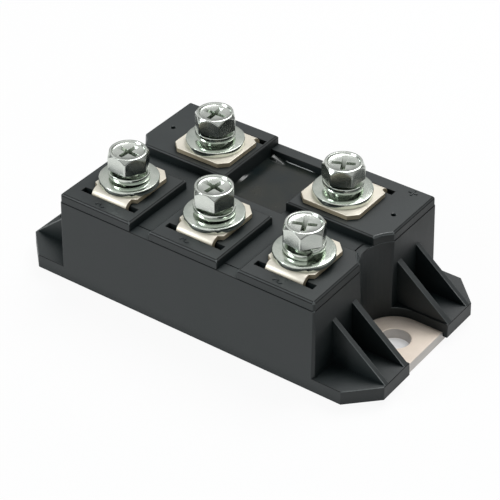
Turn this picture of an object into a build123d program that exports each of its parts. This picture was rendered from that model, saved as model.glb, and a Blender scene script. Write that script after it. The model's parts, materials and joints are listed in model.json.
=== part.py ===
from build123d import *
import os
from math import cos, pi, radians, sin, tan

# Power diode module: a three-phase bridge in a black moulded case with five screw terminals.
# Millimetres. X runs along the module, Y from its front to its back, Z up.
# The origin is the middle of the base plate's underside.

# Case, measured at the level of the terminals
case_length = 80.0
case_width = 56.0
case_corner_cut = 0.8
draft_angle = 1.5
wall = 3.6
terminal_level = 29.0
block_height = 2.6
deck_thickness = 2.2
seam_inset = 0.12
soft_edge = 0.45

# Mounting feet and their open slots
hole_from_case = 6.5
hole_to_foot_end = 10.0
foot_thickness = 4.0
foot_corner_cut = 7.75
hole_diameter = 8.0
slot_width = 18.0
slot_angle = 2.75
slot_wall = 2.1

# Ribs between feet and end walls
rib_rise = 13.2
rib_tip_back = 0.3
outer_rib_inset = 7.8
outer_rib_thickness = 1.5
inner_rib_ledge = 0.6
inner_rib_thickness = 1.8

# Base plate
plate_thickness = 3.2
plate_standout = 2.0
plate_end_recess = 1.6
plate_side_recess = 2.5
plate_corner_cut = 8.0
plate_clearance = 0.15

# Raised blocks round the screws and sunken field of the cover
block_half_width = 10.7
block_reach = 10.4
field_overrun = 2.0
field_depth = 2.2
field_rim = 2.0
cover_clearance = 0.15
pin_hole_diameter = 1.3
pin_hole_depth = 3.0
pin_hole_inset = 4.5
pin_hole_offset = 0.9

# Screw positions, from the case's outer faces
front_screw_end_inset = 12.4
front_screw_side_inset = 13.7
rear_screw_end_inset = 19.5
rear_screw_side_inset = 14.4

# Terminal strips
tab_thickness = 1.4
bend_radius = 1.9
screw_clearance = 0.7
shoulder_slope = 0.8
slot_margin = 0.15
front_tab_width = 14.0
front_neck_width = 11.4
front_tip_reach = 9.2
front_leg_gap = 1.2
front_shoulder = 5.5
front_tip_cut = 2.6
front_slot_width = 17.4
rear_tab_width = 18.0
rear_neck_width = 15.2
rear_tip_reach = 8.2
rear_leg_gap = 1.07
rear_shoulder = 6.3
rear_tip_cut = 2.3
rear_slot_width = 19.4
terminal_foot = 5.6

# Screws, washers and nuts, M6
thread_diameter = 5.9
screw_length = 16.0
across_flats = 10.0
head_height = 4.8
head_flat_radius = 4.9
head_chamfer = 1.45
cross_span = 6.4
cross_width = 1.15
cross_depth = 2.6
cross_floor_span = 2.2
head_turns = (-1.5, 7.0, -6.0, 17.0, 26.5)
cross_turns = (-5.0, -8.0, 25.0, 3.0, 27.0)
washer_diameter = 16.0
washer_thickness = 1.6
washer_hole = 6.4
spring_diameter = 10.9
spring_section_width = 2.1
spring_section_height = 1.6
spring_height = 3.2
spring_gap_angle = 14.0
spring_steps = 20
spring_turns = (50.0, 60.0, -41.0, -163.0, -167.0)
nut_height = 5.0
nut_bore = 6.0
nut_recess = 0.2
nut_clearance = 0.1
boss_width = 14.0
screw_tip_room = 1.0
boss_floor = 1.5
screw_hole_diameter = 6.8

# Circuit on the base plate
copper_thickness = 0.3
ceramic_thickness = 0.63
ceramic_gap = 0.3
ceramic_side_gap = 1.0
copper_margin = 0.7
track_gap = 1.0
phase_track_front_gap = 4.0
minus_strip_width = 6.0
minus_edge_width = 4.0
minus_rear_depth = 5.3
minus_rear_margin = 4.9
chip_size = 9.0
chip_thickness = 0.3
chip_offset_x = 5.0
chip_offset_y = 9.5
clip_thickness = 0.5
clip_width = 6.0
clip_foot = 4.0
clip_rise = 1.6
front_clip_end = 0.0
rear_clip_end = -6.2
filling_level = 12.0

# Levels and places that follow from the values above
deck_level = terminal_level - block_height
plastic_low = plate_standout
foot_level = plastic_low + foot_thickness
deck_low = deck_level - deck_thickness
tab_level = terminal_level + tab_thickness
spring_level = tab_level + washer_thickness
head_level = spring_level + spring_height
head_top = head_level + head_height
nut_top = terminal_level - nut_recess
screw_tip = head_level - screw_length
boss_bottom = screw_tip - screw_tip_room - boss_floor
ceramic_low = plate_thickness + copper_thickness
track_low = ceramic_low + ceramic_thickness
track_top = track_low + copper_thickness
chip_top = track_top + chip_thickness
hole_x = case_length / 2 + hole_from_case
overall_length = 2 * (hole_x + hole_to_foot_end)


def flare(level):
    """How much further out a drafted wall stands at a level than at the terminals."""
    return (terminal_level - level) * tan(radians(draft_angle))


room_length = case_length + 2 * flare(deck_level) - 2 * wall
room_width = case_width + 2 * flare(deck_level) - 2 * wall
slot_cylinder = slot_width / 2 + (deck_level - plastic_low) * tan(radians(slot_angle)) + slot_wall
plate_length = overall_length - 2 * plate_end_recess
plate_width = case_width - 2 * plate_side_recess

front_screw_x = case_length / 2 - front_screw_end_inset
front_screw_y = front_screw_side_inset - case_width / 2
rear_screw_x = case_length / 2 - rear_screw_end_inset
rear_screw_y = case_width / 2 - rear_screw_side_inset
front_screws = [(side * front_screw_x, front_screw_y) for side in (-1, 0, 1)]
rear_screws = [(side * rear_screw_x, rear_screw_y) for side in (-1, 1)]
screw_places = front_screws + rear_screws
front_bend_reach = room_width / 2 - front_leg_gap + front_screw_y
rear_bend_reach = room_width / 2 - rear_leg_gap - rear_screw_y

field_half_width = rear_screw_x - block_half_width
field_front = rear_screw_y - block_reach - field_overrun
pan_low = deck_level - 2 * field_depth


def lifted(sketch, low, height, taper=0.0):
    """A sketch on the ground plane, raised to a level and extruded upwards."""
    return extrude(Pos(0, 0, low) * sketch, amount=height, taper=taper)


def span(x_range, y_range):
    """A rectangle between two x values and two y values."""
    width = x_range[1] - x_range[0]
    depth = y_range[1] - y_range[0]
    return Pos(sum(x_range) / 2, sum(y_range) / 2) * Rectangle(width, depth)


def case_block(high, inset=0.0):
    """The case's drafted outer form from the underside of the plastic to a level."""
    spread = 2 * (flare(plastic_low) - inset)
    outline = Rectangle(case_length + spread, case_width + spread)
    outline = chamfer(outline.vertices(), case_corner_cut)
    return lifted(outline, plastic_low, high - plastic_low, draft_angle)


def slot_cutters():
    """The tapered round-ended notch at each end, which clears the mounting screw's head."""
    reach = overall_length / 2 - hole_x + slot_width
    one = Circle(slot_width / 2) + Pos(reach / 2, 0) * Rectangle(reach, slot_width)
    cutter = lifted(one, plastic_low, terminal_level - plastic_low + soft_edge, -slot_angle)
    right = Pos(hole_x, 0, 0) * cutter
    return [right, mirror(right, about=Plane.YZ)]


def room_outline(clearance=0.0):
    """The inside of the case, which bulges in round the two mounting slots."""
    outline = Rectangle(room_length - 2 * clearance, room_width - 2 * clearance)
    for side in (-1, 1):
        outline -= Pos(side * hole_x, 0) * Circle(slot_cylinder + clearance)
    return outline


def plate_outline(clearance=0.0):
    outline = Rectangle(plate_length + 2 * clearance, plate_width + 2 * clearance)
    return chamfer(outline.vertices(), plate_corner_cut)


def ribs():
    """Four triangular webs that stiffen the feet against the end walls."""
    root = case_length / 2 - wall / 2
    tip = overall_length / 2 - rib_tip_back
    corner = case_length / 2 + flare(foot_level + rib_rise)
    profile = Polygon(
        (root, foot_level - foot_thickness / 2),
        (tip, foot_level - foot_thickness / 2),
        (tip, foot_level),
        (corner, foot_level + rib_rise),
        (root, foot_level + rib_rise),
        align=None,
    )
    inner_low = slot_width / 2 + inner_rib_ledge
    outer_low = case_width / 2 - outer_rib_inset - outer_rib_thickness
    webs = []
    for low, thickness in ((inner_low, inner_rib_thickness), (outer_low, outer_rib_thickness)):
        for start in (-low - thickness, low):
            web = extrude(Plane.XZ.offset(-start) * profile, amount=-thickness)
            webs += [web, mirror(web, about=Plane.YZ)]
    return webs


def housing():
    foot_width = case_width + 2 * flare(plastic_low)
    foot_outline = chamfer(Rectangle(overall_length, foot_width).vertices(), foot_corner_cut)
    body = case_block(deck_level) + lifted(foot_outline, plastic_low, foot_thickness, draft_angle)
    body += ribs()
    body -= lifted(room_outline(), plastic_low, deck_level)
    body -= lifted(plate_outline(plate_clearance), 0, plate_thickness)
    body -= slot_cutters()
    return body


def base_plate():
    plate = lifted(plate_outline(), 0, plate_thickness)
    for side in (-1, 1):
        plate -= lifted(Pos(side * hole_x, 0) * Circle(hole_diameter / 2), 0, plate_thickness)
    return plate


def cover_blocks():
    """The five raised terminal blocks, flush with the case's outer faces."""
    far = case_length
    front = (-far, front_screw_y + block_reach)
    rear = (rear_screw_y - block_reach, far)
    blocks = span((-block_half_width, block_half_width), front)
    for inner, depth in ((front_screw_x - block_half_width, front), (field_half_width, rear)):
        blocks += span((-far, -inner), depth) + span((inner, far), depth)
    raised = lifted(blocks, deck_level, terminal_level - deck_level)
    raised = raised & case_block(terminal_level, seam_inset)
    for cutter in slot_cutters():
        raised -= cutter
    return chamfer(raised.edges().group_by(Axis.Z)[-1], soft_edge)


def terminal_slot(place, toward, bend_reach, width, neck_width):
    """The slit through which a terminal strip goes down, widened inwards where the strip bends."""
    outer = bend_reach + slot_margin
    inner = bend_reach - tab_thickness - slot_margin
    bend_start = bend_reach - bend_radius - tab_thickness / 2 - slot_margin
    opening = span((-width / 2, width / 2), (inner, outer))
    opening += span((-neck_width / 2 - slot_margin, neck_width / 2 + slot_margin), (bend_start, outer))
    if toward < 0:
        opening = Rot(0, 0, 180) * opening
    return lifted(Pos(*place) * opening, pan_low, terminal_level)


def top_cover():
    plug_edge = room_width / 2 - cover_clearance
    pan_half = field_half_width + field_rim
    pan = span((-pan_half, pan_half), (field_front - field_rim, plug_edge))
    field = span((-field_half_width, field_half_width), (field_front, case_width))
    cover = lifted(room_outline(cover_clearance), deck_low, deck_thickness) + cover_blocks()
    cover += lifted(pan, pan_low, field_depth)
    cover -= lifted(field, deck_level - field_depth, deck_thickness)
    pocket_width = across_flats + 2 * nut_clearance
    pocket = RegularPolygon(pocket_width / 2, 6, major_radius=False)
    for place in screw_places:
        at = Pos(*place)
        cover += lifted(at * Rectangle(boss_width, boss_width), boss_bottom, deck_low - boss_bottom)
    for place in screw_places:
        at = Pos(*place)
        cover -= lifted(at * pocket, nut_top - nut_height, terminal_level)
        cover -= lifted(at * Circle(screw_hole_diameter / 2), boss_bottom + boss_floor, terminal_level)
    for place in front_screws:
        cover -= terminal_slot(place, -1, front_bend_reach, front_slot_width, front_neck_width)
    for place in rear_screws:
        cover -= terminal_slot(place, 1, rear_bend_reach, rear_slot_width, rear_neck_width)
    for side in (-1, 1):
        pin_hole = Pos(side * (case_length / 2 - pin_hole_inset), rear_screw_y + pin_hole_offset)
        pin_hole *= Circle(pin_hole_diameter / 2)
        cover -= lifted(pin_hole, terminal_level - pin_hole_depth, pin_hole_depth)
    return cover


def terminal(place, toward, tab_width, neck_width, tip_reach, bend_reach, shoulder, tip_cut):
    """One bent strip: a flat tab under the screw, a neck, a leg and a foot on the circuit."""
    middle = tab_level - tab_thickness / 2
    down = bend_reach - tab_thickness / 2
    line = FilletPolyline((0, middle), (down, middle), (down, track_top), radius=bend_radius)
    side_view = Plane((0, 0, 0), x_dir=(0, 1, 0), z_dir=(1, 0, 0))
    strip = extrude(side_view * trace(line, tab_thickness), amount=neck_width / 2, both=True)
    foot = span((-neck_width / 2, neck_width / 2), (bend_reach - terminal_foot, bend_reach))
    strip += lifted(foot, track_top, tab_thickness)
    half = tab_width / 2
    outline = Polygon(
        (-half, tip_cut - tip_reach),
        (tip_cut - half, -tip_reach),
        (half - tip_cut, -tip_reach),
        (half, tip_cut - tip_reach),
        (half, shoulder),
        (neck_width / 2, shoulder + shoulder_slope),
        (-neck_width / 2, shoulder + shoulder_slope),
        (-half, shoulder),
        align=None,
    )
    strip += lifted(outline, terminal_level, tab_thickness)
    strip -= lifted(Circle((thread_diameter + screw_clearance) / 2), terminal_level, tab_thickness)
    if toward < 0:
        strip = Rot(0, 0, 180) * strip
    return Pos(*place) * strip


def front_terminal(place):
    return terminal(place, -1, front_tab_width, front_neck_width, front_tip_reach,
                    front_bend_reach, front_shoulder, front_tip_cut)


def rear_terminal(place):
    return terminal(place, 1, rear_tab_width, rear_neck_width, rear_tip_reach,
                    rear_bend_reach, rear_shoulder, rear_tip_cut)


def hexagon(height):
    return lifted(RegularPolygon(across_flats / 2, 6, major_radius=False), 0, height)


def screw_head():
    """A hexagon whose upper corners are turned off."""
    corner = across_flats / 2 / cos(pi / 6)
    turned = Polygon(
        (0, 0),
        (corner, 0),
        (corner, head_height - head_chamfer),
        (head_flat_radius, head_height),
        (0, head_height),
        align=None,
    )
    return hexagon(head_height) & revolve(Plane.XZ * turned, axis=Axis.Z)


def cross_recess():
    """Four tapered arms that meet in the middle, for a cross-point driver."""
    floor = head_height - cross_depth
    arm = Polygon(
        (-cross_span / 2, head_height),
        (cross_span / 2, head_height),
        (cross_floor_span / 2, floor),
        (-cross_floor_span / 2, floor),
        align=None,
    )
    arms = extrude(Plane.XZ * arm, amount=cross_width / 2, both=True)
    return arms + Rot(0, 0, 90) * arms


def screw(head_turn, cross_turn):
    """One terminal screw with its head's underside on the ground plane."""
    shank = lifted(Circle(thread_diameter / 2), -screw_length, screw_length)
    head = Rot(0, 0, head_turn) * screw_head() - Rot(0, 0, cross_turn) * cross_recess()
    return head + shank


def flat_washer():
    return lifted(Circle(washer_diameter / 2) - Circle(washer_hole / 2), 0, washer_thickness)


def spring_washer(turn_to):
    """An open ring of flat wire, coiled left-handed, whose ends spring apart by one thickness."""
    rise = spring_height - spring_section_height
    turn = radians(360 - spring_gap_angle)
    outer = spring_diameter / 2
    inner = outer - spring_section_width
    wire = [(inner, 0), (outer, 0), (outer, spring_section_height), (inner, spring_section_height)]
    sections = []
    for step in range(spring_steps + 1):
        share = step / spring_steps
        outward = Vector(cos(turn * share), -sin(turn * share), 0)
        sections.append([outward * radius + Vector(0, 0, height + rise * share) for radius, height in wire])
    faces = [Face(Wire.make_polygon(sections[0])), Face(Wire.make_polygon(sections[-1]))]
    for start, end in zip(sections, sections[1:]):
        for corner in range(len(wire)):
            near, near_next = start[corner - 1], start[corner]
            far, far_next = end[corner - 1], end[corner]
            faces.append(Face(Wire.make_polygon([near, near_next, far_next])))
            faces.append(Face(Wire.make_polygon([near, far_next, far])))
    return Rot(0, 0, turn_to - spring_gap_angle / 2) * Solid(Shell(faces))


def nut():
    return hexagon(nut_height) - lifted(Circle(nut_bore / 2), 0, nut_height)


def at_screws(copies, level):
    """One piece at each screw, all at the same level."""
    return Compound(children=[Pos(*place, level) * copy for place, copy in zip(screw_places, copies)])


# Circuit: everything lies on the ceramic plate
ceramic_x = hole_x - slot_cylinder - ceramic_gap
ceramic_y = room_width / 2 - ceramic_side_gap
track_x = ceramic_x - copper_margin
track_y = ceramic_y - copper_margin
minus_y = minus_strip_width / 2
minus_rear_y = track_y - minus_rear_depth
plus_front_y = minus_y + track_gap
minus_rear_end = rear_neck_width / 2 + minus_rear_margin - rear_screw_x
phase_pitch = 2 * track_x / 3
phase_split = phase_pitch / 2


def phase_track(number):
    """The copper under one input terminal and its front diode."""
    low = -track_x if number == 0 else (number - 1) * phase_pitch - phase_split + track_gap / 2
    high = track_x if number == 2 else (number - 1) * phase_pitch + phase_split - track_gap / 2
    return span((low, high), (-track_y, -phase_track_front_gap))


def minus_track():
    """A strip between the two rows of diodes that runs round the left end to the rear."""
    outline = span((-track_x, track_x), (-minus_y, minus_y))
    outline += span((-track_x, minus_edge_width - track_x), (-minus_y, track_y))
    return outline + span((-track_x, minus_rear_end), (minus_rear_y, track_y))


def plus_track():
    """The field under the rear diodes and the rear right terminal."""
    left = minus_edge_width - track_x + track_gap
    outline = span((left, track_x), (plus_front_y, minus_rear_y - track_gap))
    return outline + span((minus_rear_end + track_gap, track_x), (plus_front_y, track_y))


def clip(x, start, end):
    """A bent copper strip from the top of a chip to the track that it feeds."""
    half = clip_thickness / 2
    way = 1 if end > start else -1
    top = chip_top + clip_rise
    line = Polyline(
        (start - way * clip_foot / 2, chip_top + half),
        (start + way * clip_foot / 2, chip_top + half),
        (start + way * (clip_foot / 2 + clip_rise), top),
        (end - way * (clip_foot / 2 + clip_rise), top),
        (end - way * clip_foot / 2, track_top + half),
        (end + way * clip_foot / 2, track_top + half),
    )
    side_view = Plane((x, 0, 0), x_dir=(0, 1, 0), z_dir=(1, 0, 0))
    return extrude(side_view * trace(line, clip_thickness), amount=clip_width / 2, both=True)


pieces = {
    "housing": housing(),
    "top_cover": top_cover(),
    "base_plate": base_plate(),
    "substrate_back_copper": lifted(Rectangle(2 * track_x, 2 * track_y), plate_thickness, copper_thickness),
    "ceramic_substrate": lifted(Rectangle(2 * ceramic_x, 2 * ceramic_y), ceramic_low, ceramic_thickness),
    "minus_copper_track": lifted(minus_track(), track_low, copper_thickness),
    "plus_copper_track": lifted(plus_track(), track_low, copper_thickness),
    "minus_terminal": rear_terminal(rear_screws[0]),
    "plus_terminal": rear_terminal(rear_screws[1]),
}

for number, place in enumerate(front_screws):
    name = f"input_{number + 1}"
    centre = (number - 1) * phase_pitch
    front_x = centre - chip_offset_x
    rear_x = centre + chip_offset_x
    chip = Rectangle(chip_size, chip_size)
    pieces[f"{name}_terminal"] = front_terminal(place)
    pieces[f"{name}_copper_track"] = lifted(phase_track(number), track_low, copper_thickness)
    pieces[f"{name}_front_diode_chip"] = lifted(
        Pos(front_x, -chip_offset_y) * chip, track_top, chip_thickness)
    pieces[f"{name}_rear_diode_chip"] = lifted(
        Pos(rear_x, chip_offset_y) * chip, track_top, chip_thickness)
    pieces[f"{name}_front_connection_clip"] = clip(front_x, -chip_offset_y, front_clip_end)
    pieces[f"{name}_rear_connection_clip"] = clip(rear_x, chip_offset_y, rear_clip_end)


def silicone_filling():
    """Soft filling that covers the circuit, cast round everything that stands in it."""
    block = lifted(room_outline(), plate_thickness, filling_level - plate_thickness)
    for name, piece in pieces.items():
        if name not in ("housing", "top_cover", "base_plate"):
            block -= piece
    return block


pieces["silicone_filling"] = silicone_filling()
screws = [screw(head, cross) for head, cross in zip(head_turns, cross_turns)]
pieces["terminal_nuts"] = at_screws([nut() for place in screw_places], nut_top - nut_height)
pieces["flat_washers"] = at_screws([flat_washer() for place in screw_places], tab_level)
pieces["spring_washers"] = at_screws([spring_washer(turn) for turn in spring_turns], spring_level)
pieces["terminal_screws"] = at_screws(screws, head_level)

os.makedirs("parts", exist_ok=True)
for name, piece in pieces.items():
    piece.label = name
    export_step(piece, f"parts/{name}.step")
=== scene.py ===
# %% [markdown]
# # A power diode module, from bare solids to a photograph
#
# The object is a black moulded case that fits in a hand. Five zinc-plated screws hold
# cream-coloured tinned strips on five raised blocks, and a nickel-plated base plate shows in the
# two mounting slots. The solids are already at their true size and place. This script rounds what a
# mould or a press would round, remodels the screws and washers as turned and coiled metal, and
# gives every surface its finish. Each solid's record names a material slot, and the sealed solids
# get the finish of their slot.

import json
import math

import bmesh
import bpy
from mathutils import Matrix, Vector


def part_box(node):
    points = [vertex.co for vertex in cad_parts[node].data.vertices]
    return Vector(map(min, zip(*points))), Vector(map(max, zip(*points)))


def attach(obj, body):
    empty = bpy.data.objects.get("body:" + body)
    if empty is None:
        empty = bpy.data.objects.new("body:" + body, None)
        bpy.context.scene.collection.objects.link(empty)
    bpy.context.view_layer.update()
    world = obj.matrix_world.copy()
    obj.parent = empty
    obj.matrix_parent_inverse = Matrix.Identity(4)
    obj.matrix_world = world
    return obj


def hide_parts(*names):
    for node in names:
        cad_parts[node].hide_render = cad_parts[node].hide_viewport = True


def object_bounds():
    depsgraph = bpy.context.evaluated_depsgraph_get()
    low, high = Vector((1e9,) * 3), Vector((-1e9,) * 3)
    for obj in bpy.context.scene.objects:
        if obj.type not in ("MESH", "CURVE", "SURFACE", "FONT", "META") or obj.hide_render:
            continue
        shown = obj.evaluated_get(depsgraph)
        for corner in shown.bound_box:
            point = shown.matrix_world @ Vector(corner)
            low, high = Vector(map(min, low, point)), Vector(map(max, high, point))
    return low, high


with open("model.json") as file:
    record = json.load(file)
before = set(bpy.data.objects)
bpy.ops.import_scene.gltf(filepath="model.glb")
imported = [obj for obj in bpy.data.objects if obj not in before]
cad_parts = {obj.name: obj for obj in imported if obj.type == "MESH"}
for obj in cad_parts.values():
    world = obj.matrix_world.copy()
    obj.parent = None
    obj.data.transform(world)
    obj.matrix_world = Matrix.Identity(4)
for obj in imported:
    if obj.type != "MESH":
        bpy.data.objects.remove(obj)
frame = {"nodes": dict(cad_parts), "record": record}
cad_low, cad_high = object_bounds()
scene = bpy.context.scene
mm = 0.001
slot_of = {row["node"]: row["material_slot"] for row in frame["record"]["subparts"]}
print("frame:", len(frame["nodes"]), "nodes, from", cad_low, "to", cad_high)

# %% [markdown]
# ## Camera
#
# The photograph looks down on the module's right front corner from about half a metre, with a long
# lens. The corners of the case and the screw heads fix the place, the two angles and the focal
# length. A camera without any rotation looks straight down, so it is tipped up, turned round Z and
# rolled a little.

# %% Camera
view_place = Vector((239.2, -329.2, 308.6)) * mm
view_azimuth = math.radians(35.92)
view_elevation = math.radians(36.15)
view_roll = math.radians(-0.15)
focal_length = 137.2

camera_data = bpy.data.cameras.new("camera")
camera_data.lens = focal_length
camera_data.sensor_width = 36.0
camera_data.clip_start = 10 * mm
camera = bpy.data.objects.new("camera", camera_data)
scene.collection.objects.link(camera)
tip = Matrix.Rotation(math.pi / 2 - view_elevation, 4, "X")
camera.matrix_world = (
    Matrix.Translation(view_place)
    @ Matrix.Rotation(view_azimuth, 4, "Z")
    @ tip
    @ Matrix.Rotation(view_roll, 4, "Z")
)
scene.camera = camera
print("camera:", focal_length, "mm lens at", view_place)

# %% [markdown]
# ## Node helpers
#
# Every finish is a small tree of shader nodes. A few helpers keep the cells short. They add a node
# with its values, turn a mask into colours or numbers, mix two colours, calculate with sockets,
# read what a mesh carries and start a material.


# %% Node helpers
def add_node(tree, kind, inputs=None, **settings):
    """A node with its settings and the values of its inputs."""
    node = tree.nodes.new(kind)
    for name, value in settings.items():
        setattr(node, name, value)
    for name, value in (inputs or {}).items():
        node.inputs[name].default_value = value
    return node


def colour_from(tree, mask, dark, light, low=0.3, high=0.7):
    """Colours from dark to light as the mask goes from low to high."""
    ramp = add_node(tree, "ShaderNodeValToRGB")
    first, last = ramp.color_ramp.elements
    first.position = low
    first.color = (*dark, 1.0)
    last.position = high
    last.color = (*light, 1.0)
    tree.links.new(mask, ramp.inputs["Fac"])
    return ramp.outputs["Color"]


def range_from(tree, mask, start, end, low=0.3, high=0.7):
    """Numbers from start to end as the mask goes from low to high."""
    spread = {"From Min": low, "From Max": high, "To Min": start, "To Max": end}
    node = add_node(tree, "ShaderNodeMapRange", spread)
    tree.links.new(mask, node.inputs["Value"])
    return node.outputs["Result"]


def mixed_colour(tree, mask, first, second):
    """The first colour where the mask is 0 and the second where it is 1."""
    mix = add_node(tree, "ShaderNodeMix", data_type="RGBA")
    factor, colour_a, colour_b = mix.inputs[0], mix.inputs[6], mix.inputs[7]
    colour_b.default_value = (*second, 1.0)
    tree.links.new(mask, factor)
    tree.links.new(first, colour_a)
    return mix.outputs[2]


def calculated(tree, operation, *values):
    """One calculation with sockets and plain numbers."""
    node = add_node(tree, "ShaderNodeMath", operation=operation)
    for socket, value in zip(node.inputs, values):
        if isinstance(value, float):
            socket.default_value = value
        else:
            tree.links.new(value, socket)
    return node.outputs["Value"]


def mesh_mark(tree, name):
    """What the mesh carries under a name, from 0 to 1."""
    return add_node(tree, "ShaderNodeAttribute", attribute_name=name).outputs["Fac"]


def new_material(name, **values):
    """A material, its tree, its Principled shader and the object coordinates."""
    material = bpy.data.materials.new(name)
    material.use_nodes = True
    tree = material.node_tree
    shader = tree.nodes["Principled BSDF"]
    for socket, value in values.items():
        shader.inputs[socket.replace("_", " ")].default_value = value
    place = add_node(tree, "ShaderNodeTexCoord").outputs["Object"]
    return material, tree, shader, place


def bumped(tree, shader, height, distance, strength=1.0):
    """Lets a mask tilt the shader's normal, as relief that is so many metres high."""
    bump = add_node(tree, "ShaderNodeBump", {"Distance": distance, "Strength": strength})
    tree.links.new(height, bump.inputs["Height"])
    tree.links.new(bump.outputs["Normal"], shader.inputs["Normal"])


# %% [markdown]
# ## Two effects that several finishes share
#
# Nothing real is even. Plastic, plating and copper all show soft clouds some millimetres wide and a
# fine grain far below that. A node group holds both, so each material only says how large they are.
# The second group draws fine parallel lines, as rolling and brushing leave on sheet metal.


# %% Shared effects
def start_group(name, inputs, outputs):
    """A node group with a place, named numbers to set and named numbers to use."""
    group = bpy.data.node_groups.new(name, "ShaderNodeTree")
    group.interface.new_socket("Place", in_out="INPUT", socket_type="NodeSocketVector")
    for label, value in inputs.items():
        socket = group.interface.new_socket(label, in_out="INPUT", socket_type="NodeSocketFloat")
        socket.default_value = value
    for label in outputs:
        group.interface.new_socket(label, in_out="OUTPUT", socket_type="NodeSocketFloat")
    given = group.nodes.new("NodeGroupInput")
    result = group.nodes.new("NodeGroupOutput")
    return group, given, result


def surface_group():
    """Soft clouds and fine grain, both from 0 to 1, at so many waves to the metre."""
    group, given, result = start_group(
        "surface_unevenness", {"Cloud Waves": 120.0, "Grain Waves": 3000.0}, ("Clouds", "Grain")
    )
    for source, target, detail in (("Cloud Waves", "Clouds", 4.0), ("Grain Waves", "Grain", 2.0)):
        noise = add_node(group, "ShaderNodeTexNoise", {"Detail": detail, "Roughness": 0.55})
        group.links.new(given.outputs["Place"], noise.inputs["Vector"])
        group.links.new(given.outputs[source], noise.inputs["Scale"])
        group.links.new(noise.outputs["Fac"], result.inputs[target])
    return group


def rolling_group():
    """Fine lines along Y, from 0 to 1."""
    group, given, result = start_group("rolling_lines", {"Line Waves": 4000.0}, ("Lines",))
    stretch = add_node(group, "ShaderNodeMapping", {"Scale": (1.0, 0.03, 1.0)})
    noise = add_node(group, "ShaderNodeTexNoise", {"Detail": 3.0, "Roughness": 0.6})
    group.links.new(given.outputs["Place"], stretch.inputs["Vector"])
    group.links.new(stretch.outputs["Vector"], noise.inputs["Vector"])
    group.links.new(given.outputs["Line Waves"], noise.inputs["Scale"])
    group.links.new(noise.outputs["Fac"], result.inputs["Lines"])
    return group


unevenness = surface_group()
rolling = rolling_group()


def effect(tree, group, place, **values):
    """Places a shared effect in a material with the material's own values."""
    node = add_node(tree, "ShaderNodeGroup", node_tree=group)
    for label, value in values.items():
        node.inputs[label.replace("_", " ")].default_value = value
    tree.links.new(place, node.inputs["Place"])
    return node.outputs


print("shared effects:", unevenness.name, "and", rolling.name)

# %% [markdown]
# ## Moulded plastic
#
# The case is a glass-filled plastic that leaves the mould satin black. It isn't pure black: it
# gives back one to two hundredths of the light, and its skin carries a very fine grain that spreads
# the gloss. Clouds about a centimetre wide change the gloss a little, which is what makes a moulded
# wall look real. The mesh marks two kinds of upper edge, and both carry painted light. Along the
# straight walls the edge is painted dark, as painted shade, and made rougher. Where the walls turn
# a corner the edge is painted lighter and made glossier, as a painted highlight. Inner corners get
# painted shade: an ambient occlusion node tells how open each place is, and the mirror share falls
# with it.


# %% Moulded plastic
# Painted shade and painted highlight for the upper edges, each with its roughness.
shade_painted_edge_colour = (0.003, 0.004, 0.004)
shade_painted_edge_roughness = 0.35
highlight_painted_edge_colour = (0.075, 0.085, 0.085)
highlight_painted_edge_roughness = -0.24
# Painted shade in inner corners: the mirror share drops towards corner_shade_gloss where little is
# open.
corner_reach = 7 * mm
corner_shade_gloss = 0.05
plain_gloss = 0.5


def make_case_plastic():
    """Satin black, with painted shade and highlight on upper edges and painted shade in inner
    corners.
    """
    material, tree, shader, place = new_material("case_plastic", IOR=1.5)
    skin = effect(tree, unevenness, place, Cloud_Waves=90.0, Grain_Waves=2600.0)
    shade_edge, highlight_edge = mesh_mark(tree, "shade_painted_edge"), mesh_mark(tree, "highlight_painted_edge")
    colour = colour_from(tree, skin["Clouds"], (0.009, 0.013, 0.014), (0.014, 0.019, 0.019))
    # Painted shade on upper edges along straight walls, painted highlight on upper edges at
    # corners.
    colour = mixed_colour(tree, shade_edge, colour, shade_painted_edge_colour)
    colour = mixed_colour(tree, highlight_edge, colour, highlight_painted_edge_colour)
    tree.links.new(colour, shader.inputs["Base Color"])
    roughness = range_from(tree, skin["Clouds"], 0.46, 0.56)
    roughness = calculated(tree, "MULTIPLY_ADD", shade_edge, shade_painted_edge_roughness, roughness)
    roughness = calculated(tree, "MULTIPLY_ADD", highlight_edge, highlight_painted_edge_roughness, roughness)
    tree.links.new(roughness, shader.inputs["Roughness"])
    # Painted shade: ambient occlusion lowers the mirror share in inner corners.
    openness = add_node(tree, "ShaderNodeAmbientOcclusion", {"Distance": corner_reach})
    gloss = range_from(tree, openness.outputs["AO"], corner_shade_gloss, plain_gloss, 0.45, 0.9)
    tree.links.new(gloss, shader.inputs["Specular IOR Level"])
    bumped(tree, shader, skin["Grain"], 0.00004, 0.5)
    return material


case_plastic = make_case_plastic()
print("finish:", case_plastic.name)

# %% [markdown]
# ## Plated metals
#
# Three platings show. The screws and washers are zinc-plated and bright, with the faint green that
# the passivation leaves. The terminal strips are tin-plated: softer, cream-coloured, with the
# copper's warm tone at the punched edges. The base plate is nickel-plated and looks like warm
# paper, because its ground surface scatters the light. All are metallic shaders whose colour
# changes with the clouds. The zinc's roughness goes with them too, and that of the sheets follows
# their rolling lines. In a pressed recess the zinc is painted darker with the depth that the mesh
# carries, as painted shade.


# %% Plated metals
# Painted shade colour for the deepest part of a cross recess.
recess_shade_colour = (0.10, 0.12, 0.09)
line_contrast = 0.06


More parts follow.
